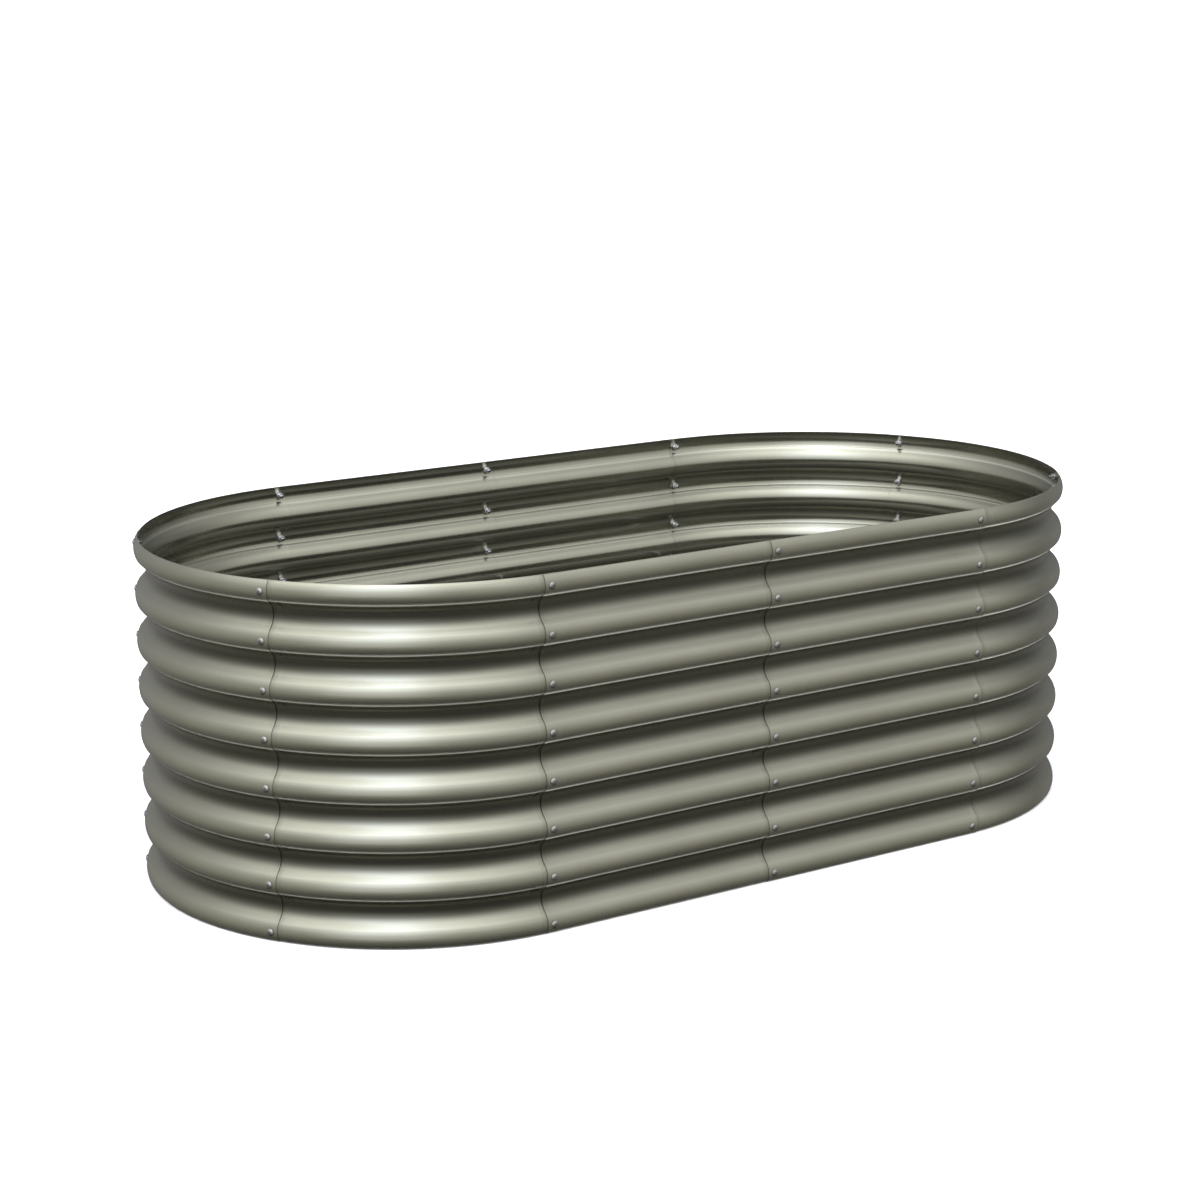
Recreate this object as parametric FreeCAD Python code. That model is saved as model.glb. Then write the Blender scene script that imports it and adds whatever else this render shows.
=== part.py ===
import FreeCAD, Part
import math
import os

# Raised garden bed: an oval, bottomless wall of horizontally corrugated steel
# panels, lapped and bolted along vertical seams, with three cross ties inside.
# Millimetres.  Origin on the ground at the middle of the plan, +X along the
# long side, +Z up, the -Y side is the front.

os.makedirs("parts", exist_ok=True)
V = FreeCAD.Vector

# ---------------------------------------------------------------- dimensions
PITCH = 80.0            # height of one corrugation
ROWS = 8                # ridges, one bolt row on each
R_CREST = 456.0         # plan radius of the two round ends at the ridge crest
HALF_STRAIGHT = 448.0   # half of the straight part of a long side
SHEET = 0.8             # sheet thickness
DEPTH = 19.6            # depth of the corrugation
EDGE_BELOW = 16.0       # lowest bolt row above the bottom edge
EDGE_ABOVE = 18.5       # top edge above the highest bolt row
R_CROWN = 28.0          # rounded crown of the crest, outer face
CROWN_MID = 0.0         # crown's outermost line below the bolt row
CROWN_LOW = 10.5        # crown's reach below that line, to the crease
CROWN_TOP = 14.0        # and above it, to the shoulder
R_CREASE = 3.0          # tight bend at the crease, outer face
R_SHOULDER = 14.0       # soft bend at the shoulder, outer face
LAP = 13.0              # sheet carried past each seam line
HOLE_R = 3.4            # bolt holes in the sheets

BOLT_R = 3.0            # seam bolts, M6
BOLT_LEN = 14.0
HEAD_R = 6.25
HEAD_H = 3.2
RECESS_W = 1.15         # cross recess
RECESS_L = 4.6
RECESS_D = 1.7
WASHER_R = 6.0
WASHER_HOLE_R = 3.2
WASHER_T = 1.6
NUT_AF = 10.0
NUT_H = 5.0
NUT_HOLE_R = 3.05

TIE_ROW = 4             # bolt row that carries the cross ties
TIE_W = 15.0            # height of the tie bars and brackets
TIE_T = 4.0             # thickness of a tie bar
TIE_DROP = 0.0          # their middle line below the bolt row
BRACKET_T = 2.5
BRACKET_BACK = 9.0      # bracket foot beyond the seam bolt
BRACKET_REACH = 36.0    # from the seam bolt to the tie bar's face
BRACKET_ARM = 52.0      # length of the arm into the bed
TIE_BOLT_IN = 41.0      # tie bolt, from the bracket foot
TIE_BOLT_LEN = 15.0

HEIGHT = EDGE_BELOW + (ROWS - 1) * PITCH + EDGE_ABOVE
R_TIE_EDGE = 3.0

# ------------------------------------------------- corrugated wall profile
# (u, z): u runs inwards from the crest.  Every piece is stored with the
# outward normal at its ends and middle, so that a parallel curve is each
# point moved along its normal, and lapped sheets nest face to face.
S45 = math.sqrt(0.5)
Q = math.radians(45.0)              # slope of the flanks
B_LOW = math.asin(CROWN_LOW / R_CROWN)
B_TOP = math.asin(CROWN_TOP / R_CROWN)


def on_arc(cu, cz, r, e):
    # point and normal of an outward bend at the normal's elevation e
    return ((cu - r * math.cos(e), cz + r * math.sin(e)), (-math.cos(e), math.sin(e)))


def in_arc(cu, cz, r, e):
    # the same on an inward bend, whose centre lies outside the wall
    return ((cu + r * math.cos(e), cz - r * math.sin(e)), (-math.cos(e), math.sin(e)))


# centres of the bends, from the bolt row
CROWN_C = (R_CROWN, -CROWN_MID)
CREASE_C = (R_CROWN - (R_CROWN - R_CREASE) * math.cos(B_LOW), -CROWN_MID - (R_CROWN - R_CREASE) * math.sin(B_LOW))
SHOULDER_C = (R_CROWN - (R_CROWN - R_SHOULDER) * math.cos(B_TOP),
              -CROWN_MID + (R_CROWN - R_SHOULDER) * math.sin(B_TOP))
# the flanks lie on u = -w - K_UNDER and u = w - K_UPPER, w from the bolt row
K_UNDER = -(CREASE_C[0] - R_CREASE * S45) - (CREASE_C[1] - R_CREASE * S45)
K_UPPER = (SHOULDER_C[1] + R_SHOULDER * S45) - (SHOULDER_C[0] - R_SHOULDER * S45)
W_GROOVE = (PITCH - K_UNDER + K_UPPER) / 2.0    # groove line above a bolt row
U_CORNER = W_GROOVE - K_UPPER                   # where the flanks would meet
R_GROOVE = (U_CORNER - DEPTH) / (math.sqrt(2.0) - 1.0)
GROOVE_CU = DEPTH - R_GROOVE


def profile():
    out = []
    for k in range(ROWS):
        zc = EDGE_BELOW + k * PITCH
        bend = (CREASE_C[0], zc + CREASE_C[1], R_CREASE)
        crown = (CROWN_C[0], zc + CROWN_C[1], R_CROWN)
        shoulder = (SHOULDER_C[0], zc + SHOULDER_C[1], R_SHOULDER)
        a = on_arc(*bend, -Q)
        if k == 0:
            start = ((EDGE_BELOW - K_UNDER, 0.0), a[1])
        else:
            start = out[-1][2]
        out.append(("line", start, a))
        for arc, e0, e1 in ((bend, -Q, -B_LOW), (crown, -B_LOW, B_TOP), (shoulder, B_TOP, Q)):
            out.append(("arc", on_arc(*arc, e0), on_arc(*arc, e1), on_arc(*arc, (e0 + e1) / 2)))
        d = out[-1][2]
        if k == ROWS - 1:
            out.append(("line", d, ((EDGE_ABOVE - K_UPPER, HEIGHT), d[1])))
        else:
            groove = (GROOVE_CU, zc + W_GROOVE, R_GROOVE)
            out.append(("line", d, in_arc(*groove, Q)))
            out.append(("arc", in_arc(*groove, Q), in_arc(*groove, -Q), in_arc(*groove, 0.0)))
    return out


PROFILE = profile()


def offset(point_normal, s):
    (u, z), (nu, nz) = point_normal
    return (u + s * nu, z + s * nz)


def curve(s):
    # the parallel curve at s, its two ends cut level at z=0 and z=HEIGHT
    pieces = []
    last = len(PROFILE) - 1
    for i, p in enumerate(PROFILE):
        a, b = offset(p[1], s), offset(p[2], s)
        if i == 0:
            a = (EDGE_BELOW - K_UNDER - s * math.sqrt(2.0), 0.0)
        if i == last:
            b = (EDGE_ABOVE - K_UPPER - s * math.sqrt(2.0), HEIGHT)
        if p[0] == "line":
            pieces.append((a, b))
        else:
            pieces.append((a, b, offset(p[3], s)))
    return pieces


def section(layer, place):
    # closed face of a sheet; place maps (u, z) to a point in space
    edges = []
    outer = curve(layer * SHEET)
    inner = curve((layer - 1) * SHEET)
    for pieces in (outer, inner):
        for p in pieces:
            if len(p) == 2:
                edges.append(Part.LineSegment(place(*p[0]), place(*p[1])).toShape())
            else:
                edges.append(Part.Arc(place(*p[0]), place(*p[2]), place(*p[1])).toShape())
    for end in (0, -1):
        j = 0 if end == 0 else 1
        edges.append(Part.LineSegment(place(*outer[end][j]), place(*inner[end][j])).toShape())
    wire = Part.Wire(Part.__sortEdges__(edges))
    return Part.Face(wire)


# ---------------------------------------------------------------- seams
# name, kind, position; u_dir is the outward direction
def seam_frame(seam):
    kind, value = seam
    if kind == "front":
        return V(value, -R_CREST, 0), V(0, -1, 0)
    if kind == "back":
        return V(value, R_CREST, 0), V(0, 1, 0)
    cx = -HALF_STRAIGHT if kind == "left" else HALF_STRAIGHT
    a = math.radians(value)
    d = V(math.cos(a), math.sin(a), 0)
    return V(cx, 0, 0) + d * R_CREST, d


SEAMS = {
    "front_left": ("front", -HALF_STRAIGHT),
    "front_mid": ("front", 0.0),
    "front_right": ("front", HALF_STRAIGHT),
    "right_end_front": ("right", -30.0),
    "right_end_back": ("right", 30.0),
    "back_right": ("back", HALF_STRAIGHT),
    "back_mid": ("back", 0.0),
    "back_left": ("back", -HALF_STRAIGHT),
    "left_end_back": ("left", 150.0),
    "left_end_front": ("left", 210.0),
}

# name: shape, start, end, layer (0 innermost), seams at its two edges
PANELS = {
    "panel_left_front": ("left", 210.0, 270.0, 0, "left_end_front", "front_left"),
    "panel_front_left": ("front", -HALF_STRAIGHT, 0.0, 1, "front_left", "front_mid"),
    "panel_front_right": ("front", 0.0, HALF_STRAIGHT, 2, "front_mid", "front_right"),
    "panel_right_front": ("right", -90.0, -30.0, 1, "front_right", "right_end_front"),
    "panel_right_end": ("right", -30.0, 30.0, 0, "right_end_front", "right_end_back"),
    "panel_right_back": ("right", 30.0, 90.0, 1, "right_end_back", "back_right"),
    "panel_back_right": ("back", 0.0, HALF_STRAIGHT, 2, "back_right", "back_mid"),
    "panel_back_left": ("back", -HALF_STRAIGHT, 0.0, 1, "back_mid", "back_left"),
    "panel_left_back": ("left", 90.0, 150.0, 0, "back_left", "left_end_back"),
    "panel_left_end": ("left", 150.0, 210.0, 1, "left_end_back", "left_end_front"),
}


def row_z(k):
    return EDGE_BELOW + k * PITCH


def holes(seam_name):
    base, d = seam_frame(SEAMS[seam_name])
    out = []
    for k in range(ROWS):
        p = base + V(0, 0, row_z(k)) - d * 6.0
        out.append(Part.makeCylinder(HOLE_R, 12.0, p, d))
    return out


def make_panel(name):
    shape, a0, a1, layer, seam_a, seam_b = PANELS[name]
    if shape in ("front", "back"):
        sign = -1.0 if shape == "front" else 1.0
        x0 = a0 - LAP

        def place(u, z):
            return V(x0, sign * (R_CREST - u), z)

        solid = section(layer, place).extrude(V(a1 - a0 + 2 * LAP, 0, 0))
    else:
        cx = -HALF_STRAIGHT if shape == "left" else HALF_STRAIGHT
        lap_deg = math.degrees(LAP / R_CREST)
        start = math.radians(a0 - lap_deg)

        def place(u, z):
            r = R_CREST - u
            return V(cx + r * math.cos(start), r * math.sin(start), z)

        solid = section(layer, place).revolve(V(cx, 0, 0), V(0, 0, 1), a1 - a0 + 2 * lap_deg)
    return solid.cut(Part.makeCompound(holes(seam_a) + holes(seam_b)))


# ---------------------------------------------------------------- fasteners
# modelled at the origin with the outward direction along +X
def axis_ring(r_out, r_in, x0, x1):
    s = Part.makeCylinder(r_out, x1 - x0, V(x0, 0, 0), V(1, 0, 0))
    return s.cut(Part.makeCylinder(r_in, x1 - x0 + 2, V(x0 - 1, 0, 0), V(1, 0, 0)))


def make_bolt(length):
    # low domed head with a cross recess on a plain shank
    rim = 0.9
    p0, p1 = V(0, 0, 0), V(0, HEAD_R, 0)
    p2 = V(rim, HEAD_R, 0)
    top = V(HEAD_H, 0, 0)
    rise = HEAD_H - rim
    r = (HEAD_R ** 2 + rise ** 2) / (2 * rise)
    half = math.asin(HEAD_R / r) / 2
    mid = V(HEAD_H - r + r * math.cos(half), r * math.sin(half), 0)
    wire = Part.Wire([Part.LineSegment(p0, p1).toShape(), Part.LineSegment(p1, p2).toShape(),
                      Part.Arc(p2, mid, top).toShape(), Part.LineSegment(top, p0).toShape()])
    head = Part.Face(wire).revolve(V(0, 0, 0), V(1, 0, 0), 360)
    for ly, lz in ((RECESS_L, RECESS_W), (RECESS_W, RECESS_L)):
        slot = Part.makeBox(RECESS_D + 1, ly, lz, V(HEAD_H - RECESS_D, -ly / 2, -lz / 2))
        head = head.cut(slot)
    tip = 0.8
    shank = Part.makeCylinder(BOLT_R, length - tip, V(-length + tip, 0, 0), V(1, 0, 0))
    end = Part.makeCone(BOLT_R - tip, BOLT_R, tip, V(-length, 0, 0), V(1, 0, 0))
    return head.fuse(shank).fuse(end).removeSplitter()


def make_nut():
    r = NUT_AF / math.sqrt(3.0)
    pts = [V(-NUT_H, r * math.cos(math.radians(60 * i + 30)), r * math.sin(math.radians(60 * i + 30)))
           for i in range(6)]
    hexa = Part.Face(Part.makePolygon(pts + [pts[0]])).extrude(V(NUT_H, 0, 0))
    # corners turned off on the free side
    cone = Part.makeCone(NUT_AF / 2 + 0.15, NUT_AF / 2 + 0.15 + NUT_H * 1.6, NUT_H,
                         V(-NUT_H, 0, 0), V(1, 0, 0))
    nut = hexa.common(cone)
    return nut.cut(Part.makeCylinder(NUT_HOLE_R, NUT_H + 2, V(-NUT_H - 1, 0, 0), V(1, 0, 0)))


BOLT = make_bolt(BOLT_LEN)
TIE_BOLT = make_bolt(TIE_BOLT_LEN)
WASHER = axis_ring(WASHER_R, WASHER_HOLE_R, -WASHER_T, 0.0)
NUT = make_nut()


def put(shape, pos, direction, spin=0.0):
    s = shape.copy()
    rot = FreeCAD.Rotation(V(1, 0, 0), direction).multiply(FreeCAD.Rotation(V(1, 0, 0), spin))
    s.Placement = FreeCAD.Placement(pos, rot)
    return s


def seam_layers(name):
    return [p[3] for p in PANELS.values() if name in (p[4], p[5])]


def inside_gap(name, half_w, half_x):
    # a flat piece against the hollow side of a ridge stands off by this:
    # half_w is its reach up and down, half_x its reach along the wall
    r = R_CROWN - SHEET
    rise = r - math.sqrt(r * r - (half_w + CROWN_MID) ** 2)
    bend = 0.0 if SEAMS[name][0] in ("front", "back") and SEAMS[name][1] == 0.0 else half_x ** 2 / (2 * R_CREST)
    return rise + bend + 0.01


def has_tie(name):
    return name.split("_")[0] in ("front", "back")


def save(name, solids):
    shape = solids[0] if len(solids) == 1 else Part.makeCompound(solids)
    for s in shape.Solids:
        if not s.isValid() or s.Volume <= 0:
            raise ValueError("bad solid in " + name)
    shape.exportStep("parts/%s.step" % name)
    print("%-32s solids %d volume %.0f mm3" % (name, len(shape.Solids), sum(s.Volume for s in shape.Solids)))


for name in PANELS:
    save(name, make_panel(name).Solids)

for name in SEAMS:
    base, d = seam_frame(SEAMS[name])
    layers = seam_layers(name)
    outside = max(layers) * SHEET
    inside = (min(layers) - 1) * SHEET
    bolts, washers, nuts = [], [], []
    for k in range(ROWS):
        centre = base + V(0, 0, row_z(k))
        spin = 17.0 * ((3 * k) % 5)
        bolts.append(put(BOLT, centre + d * outside, d, spin))
        back = inside
        if k == TIE_ROW and has_tie(name):
            back -= inside_gap(name, TIE_W / 2 - TIE_DROP, LAP) + BRACKET_T
        else:
            back -= inside_gap(name, WASHER_R, WASHER_R)
        washers.append(put(WASHER, centre + d * back, d))
        nuts.append(put(NUT, centre + d * (back - WASHER_T), d, spin + 11.0))
    save("bolts_" + name, bolts)
    save("washers_" + name, washers)
    save("nuts_" + name, nuts)

# ---------------------------------------------------------------- cross ties
# A flat bar on edge between two angle brackets, each held by the seam bolt of
# row TIE_ROW.  side is +1 where the arm stands towards +X from the seam.
for part, x_seam, side in (("left", -HALF_STRAIGHT, 1.0), ("centre", 0.0, 1.0), ("right", HALF_STRAIGHT, -1.0)):
    word = {"left": "left", "centre": "mid", "right": "right"}[part]
    z0 = row_z(TIE_ROW)
    x_face = x_seam + side * BRACKET_REACH
    brackets, tie_bolts, tie_nuts, feet = [], [], [], {}
    for sign, fb in ((-1.0, "front"), (1.0, "back")):
        seam = fb + "_" + word
        u_foot = -(min(seam_layers(seam)) - 1) * SHEET + inside_gap(seam, TIE_W / 2 - TIE_DROP, LAP)
        y_out = sign * (R_CREST - u_foot)
        feet[fb] = u_foot
        xa, xb = sorted((x_seam - side * BRACKET_BACK, x_face))
        ya, yb = sorted((y_out, y_out - sign * BRACKET_T))
        z_low = z0 - TIE_W / 2 - TIE_DROP
        foot = Part.makeBox(xb - xa, yb - ya, TIE_W, V(xa, ya, z_low))
        xa, xb = sorted((x_face, x_face - side * BRACKET_T))
        ya, yb = sorted((y_out, y_out - sign * BRACKET_ARM))
        arm = Part.makeBox(xb - xa, yb - ya, TIE_W, V(xa, ya, z_low))
        angle = foot.fuse(arm).removeSplitter()
        angle = angle.cut(Part.makeCylinder(BOLT_R + 0.3, 40, V(x_seam, y_out + 20 * sign, z0), V(0, -sign, 0)))
        y_bolt = y_out - sign * TIE_BOLT_IN
        angle = angle.cut(Part.makeCylinder(BOLT_R + 0.3, 40, V(x_face - side * 20, y_bolt, z0), V(side, 0, 0)))
        brackets.append(angle)
        tie_bolts.append(put(TIE_BOLT, V(x_face + side * TIE_T, y_bolt, z0), V(side, 0, 0), 23.0))
        tie_nuts.append(put(NUT, V(x_face - side * BRACKET_T, y_bolt, z0), V(side, 0, 0), 8.0))
    save("brackets_" + part, brackets)
    y_front = -(R_CREST - feet["front"]) + TIE_BOLT_IN - 12.0
    y_back = (R_CREST - feet["back"]) - TIE_BOLT_IN + 12.0
    xa, xb = sorted((x_face, x_face + side * TIE_T))
    bar = Part.makeBox(TIE_T, y_back - y_front, TIE_W, V(xa, y_front, z0 - TIE_W / 2 - TIE_DROP))
    upright = [e for e in bar.Edges
               if abs(e.Vertexes[0].Y - e.Vertexes[1].Y) < 1e-6 and abs(e.Vertexes[0].Z - e.Vertexes[1].Z) < 1e-6]
    bar = bar.makeFillet(R_TIE_EDGE, upright)
    for y in (y_front + 12.0, y_back - 12.0):
        bar = bar.cut(Part.makeCylinder(BOLT_R + 0.3, 20, V(xa - 8, y, z0), V(1, 0, 0)))
    save("tie_bar_" + part, [bar])
    save("tie_bolts_" + part, tie_bolts)
    save("tie_nuts_" + part, tie_nuts)
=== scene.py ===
import math

import bpy
import numpy as np
from mathutils import Matrix, Vector


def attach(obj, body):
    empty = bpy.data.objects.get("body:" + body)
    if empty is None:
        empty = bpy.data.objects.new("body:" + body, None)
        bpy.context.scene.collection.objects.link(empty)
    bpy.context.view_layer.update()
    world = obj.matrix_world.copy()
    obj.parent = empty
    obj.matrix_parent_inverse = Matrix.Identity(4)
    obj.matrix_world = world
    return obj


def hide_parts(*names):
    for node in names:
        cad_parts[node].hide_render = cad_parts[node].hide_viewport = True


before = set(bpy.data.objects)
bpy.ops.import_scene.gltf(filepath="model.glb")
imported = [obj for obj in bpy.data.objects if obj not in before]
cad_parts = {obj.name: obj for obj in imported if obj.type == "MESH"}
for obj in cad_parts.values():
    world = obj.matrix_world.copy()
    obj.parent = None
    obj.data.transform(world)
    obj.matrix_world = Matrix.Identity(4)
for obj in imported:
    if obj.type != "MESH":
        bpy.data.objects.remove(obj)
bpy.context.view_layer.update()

# ------------------------------------------------------------------ sizes
# metres; the same numbers as the construction model
PITCH = 0.080
ROWS = 8
R_CREST = 0.456
HALF = 0.448
SHEET = 0.0008
DEPTH = 0.0196
EDGE_BELOW = 0.016
EDGE_ABOVE = 0.0185
R_CROWN = 0.028
CROWN_MID = 0.0
CROWN_LOW = 0.0105
CROWN_TOP = 0.014
R_CREASE = 0.003
R_SHOULDER = 0.014
LAP = 0.013
HEIGHT = EDGE_BELOW + (ROWS - 1) * PITCH + EDGE_ABOVE
HEAD_R = 0.00625
HEAD_H = 0.0032
BOLT_R = 0.003
BOLT_LEN = 0.014
WASHER_R = 0.006
WASHER_HOLE_R = 0.0032
WASHER_T = 0.0016
NUT_AF = 0.010
NUT_H = 0.005
TIE_ROW = 4
TIE_W = 0.015
TIE_T = 0.004
TIE_DROP = 0.0
BRACKET_T = 0.0025
BRACKET_REACH = 0.036
TIE_BOLT_IN = 0.041
TIE_BOLT_LEN = 0.015

S45 = math.sqrt(0.5)
Q = math.radians(45.0)
B_LOW = math.asin(CROWN_LOW / R_CROWN)
B_TOP = math.asin(CROWN_TOP / R_CROWN)
CROWN_C = (R_CROWN, -CROWN_MID)
CREASE_C = (R_CROWN - (R_CROWN - R_CREASE) * math.cos(B_LOW), -CROWN_MID - (R_CROWN - R_CREASE) * math.sin(B_LOW))
SHOULDER_C = (R_CROWN - (R_CROWN - R_SHOULDER) * math.cos(B_TOP), -CROWN_MID + (R_CROWN - R_SHOULDER) * math.sin(B_TOP))
K_UNDER = -(CREASE_C[0] - R_CREASE * S45) - (CREASE_C[1] - R_CREASE * S45)
K_UPPER = (SHOULDER_C[1] + R_SHOULDER * S45) - (SHOULDER_C[0] - R_SHOULDER * S45)
W_GROOVE = (PITCH - K_UNDER + K_UPPER) / 2.0
U_CORNER = W_GROOVE - K_UPPER
R_GROOVE = (U_CORNER - DEPTH) / (math.sqrt(2.0) - 1.0)
GROOVE_CU = DEPTH - R_GROOVE

FINE = 1.0


def smooth(x):
    x = np.clip(x, 0.0, 1.0)
    return x * x * (3.0 - 2.0 * x)


# ------------------------------------------------------- corrugated section
def section_samples():
    """Points of the wall's outer face from the ground up: u inwards, z up, the
    outward normal, and a painted highlight mark, up to 1 on the under flank just below the tight bend of each ridge and
    0.35 fading along the bend."""
    rows = []

    def line(p, q, n, steps, near_end=()):
        length = math.hypot(q[0] - p[0], q[1] - p[1])
        cut = length - (max(near_end) if near_end else 0.0)
        far = [cut * i / steps for i in range(steps)]
        for t in far + [length - d for d in near_end]:
            f = t / length
            d = length - t
            # painted highlight: a bright band on the under flank centred 4.4 mm below the bend
            m = math.exp(-((d - 0.0044) / 0.0024) ** 2) if near_end else 0.0
            rows.append((p[0] + (q[0] - p[0]) * f, p[1] + (q[1] - p[1]) * f, n[0], n[1], m if m > 0.02 else 0.0))

    def arc(cu, cz, r, e0, e1, steps, inward=False, painted_highlight=0.0):
        steps = max(3, int(round(steps * FINE)))
        for i in range(steps):
            e = e0 + (e1 - e0) * i / steps
            s = -1.0 if inward else 1.0
            m = painted_highlight * math.cos(0.5 * math.pi * i / steps)
            rows.append((cu - s * r * math.cos(e), cz + s * r * math.sin(e), -math.cos(e), math.sin(e), m))

    for k in range(ROWS):
        zc = EDGE_BELOW + k * PITCH
        a = (CREASE_C[0] - R_CREASE * S45, zc + CREASE_C[1] - R_CREASE * S45)
        n_under, n_upper = (-S45, -S45), (-S45, S45)
        if k == 0:
            start = (EDGE_BELOW - K_UNDER, 0.0)
        else:
            start = (GROOVE_CU + R_GROOVE * S45, zc - PITCH + W_GROOVE + R_GROOVE * S45)
        near = (0.0042, 0.0034, 0.0026, 0.0018, 0.0009) if k == 0 else (0.0112, 0.0092, 0.0078, 0.0066, 0.0055, 0.0045, 0.0036, 0.0027, 0.0018, 0.0008)
        line(start, a, n_under, 2 if k == 0 else 4, near)
        # painted highlight along the tight bend, 0.35 fading upwards
        arc(CREASE_C[0], zc + CREASE_C[1], R_CREASE, -Q, -B_LOW, 8, painted_highlight=0.35)
        arc(CROWN_C[0], zc + CROWN_C[1], R_CROWN, -B_LOW, B_TOP, 9)
        arc(SHOULDER_C[0], zc + SHOULDER_C[1], R_SHOULDER, B_TOP, Q, 8)
        d = (SHOULDER_C[0] - R_SHOULDER * S45, zc + SHOULDER_C[1] + R_SHOULDER * S45)
        if k == ROWS - 1:
            end = (EDGE_ABOVE - K_UPPER, HEIGHT)
            line(d, end, n_upper, 3)
            rows.append((end[0], end[1], n_upper[0], n_upper[1], 0.0))
        else:
            g = (GROOVE_CU + R_GROOVE * S45, zc + W_GROOVE - R_GROOVE * S45)
            line(d, g, n_upper, 4)
            arc(GROOVE_CU, zc + W_GROOVE, R_GROOVE, Q, -Q, 16, inward=True)
    return np.array(rows)


SECTION = section_samples()
EDGE_R = SHEET / 2.0


def sheet_loop(layer):
    """Closed section of one sheet with rounded edges: per point u, z, the middle
    surface's u and z, the developed height v, the painted highlight mark and 1 on the outside."""
    base = SECTION
    s_out, s_in, s_mid = layer * SHEET, (layer - 1) * SHEET + 0.00003, (layer - 0.5) * SHEET
    u, z, nu, nz, painted_highlight = base.T
    v = np.concatenate([[0.0], np.cumsum(np.hypot(np.diff(u), np.diff(z)))])
    mu, mz = u + s_mid * nu, z + s_mid * nz
    keep = (mz > EDGE_R * 1.05) & (mz < HEIGHT - EDGE_R * 1.05)

    def end_point(level, top):
        i = len(u) - 1 if top else 0
        f = (level - mz[i]) / (S45 if top else -S45)
        # slide along the straight flank to the wanted level
        if top:
            return (mu[i] + f * S45, level, nu[i], nz[i], v[i] + f)
        return (mu[i] - (level - mz[i]), level, nu[i], nz[i], v[i] + (level - mz[i]) * math.sqrt(2.0))

    lo = end_point(EDGE_R, False)
    hi = end_point(HEIGHT - EDGE_R, True)
    cu = np.concatenate([[lo[0]], mu[keep], [hi[0]]])
    cz = np.concatenate([[lo[1]], mz[keep], [hi[1]]])
    cnu = np.concatenate([[lo[2]], nu[keep], [hi[2]]])
    cnz = np.concatenate([[lo[3]], nz[keep], [hi[3]]])
    cv = np.concatenate([[lo[4]], v[keep], [hi[4]]])
    cm = np.concatenate([[0.0], painted_highlight[keep], [0.0]])
    # outer face, rounded top edge, inner face and rounded bottom edge in one closed loop
    h_out, h_in = s_out - s_mid, s_in - s_mid
    pts = []
    n = len(cu)
    for i in range(n):
        pts.append((cu[i] + h_out * cnu[i], cz[i] + h_out * cnz[i], cu[i], cz[i], cv[i], cm[i], 1.0))
    for j in range(1, 5):          # round the top edge
        a = math.pi * j / 5
        nx, ny = cnu[-1], cnz[-1]
        tx, ty = S45, S45
        # the rounded top edge gets a painted highlight of 0.5
        pts.append((cu[-1] + EDGE_R * (math.cos(a) * nx + math.sin(a) * tx), cz[-1] + EDGE_R * (math.cos(a) * ny + math.sin(a) * ty),
                    cu[-1], cz[-1], cv[-1] + 0.0002 * j, 0.5, 1.0 - j / 5))
    for i in range(n - 1, -1, -1):
        # the inner face keeps 0.3 of the painted highlight
        pts.append((cu[i] + h_in * cnu[i], cz[i] + h_in * cnz[i], cu[i], cz[i], cv[i], cm[i] * 0.3, 0.0))
    for j in range(1, 5):          # round the bottom edge
        a = math.pi * j / 5
        nx, ny = -cnu[0], -cnz[0]
        tx, ty = S45, -S45
        pts.append((cu[0] + EDGE_R * (math.cos(a) * nx + math.sin(a) * tx), cz[0] + EDGE_R * (math.cos(a) * ny + math.sin(a) * ty),
                    cu[0], cz[0], cv[0] - 0.0002 * j, 0.0, j / 5))
    return np.array(pts), n


# name: side, start, end, layer, top sheet at the start edge, at the end edge
PANELS = {
    "panel_left_front": ("left", 210.0, 270.0, 0, False, False),
    "panel_front_left": ("front", -HALF, 0.0, 1, True, False),
    "panel_front_right": ("front", 0.0, HALF, 2, True, True),
    "panel_right_front": ("right", -90.0, -30.0, 1, False, True),
    "panel_right_end": ("right", -30.0, 30.0, 0, False, False),
    "panel_right_back": ("right", 30.0, 90.0, 1, True, False),
    "panel_back_right": ("back", 0.0, HALF, 2, True, True),
    "panel_back_left": ("back", -HALF, 0.0, 1, True, False),
    "panel_left_back": ("left", 90.0, 150.0, 0, False, False),
    "panel_left_end": ("left", 150.0, 210.0, 1, True, True),
}


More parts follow.
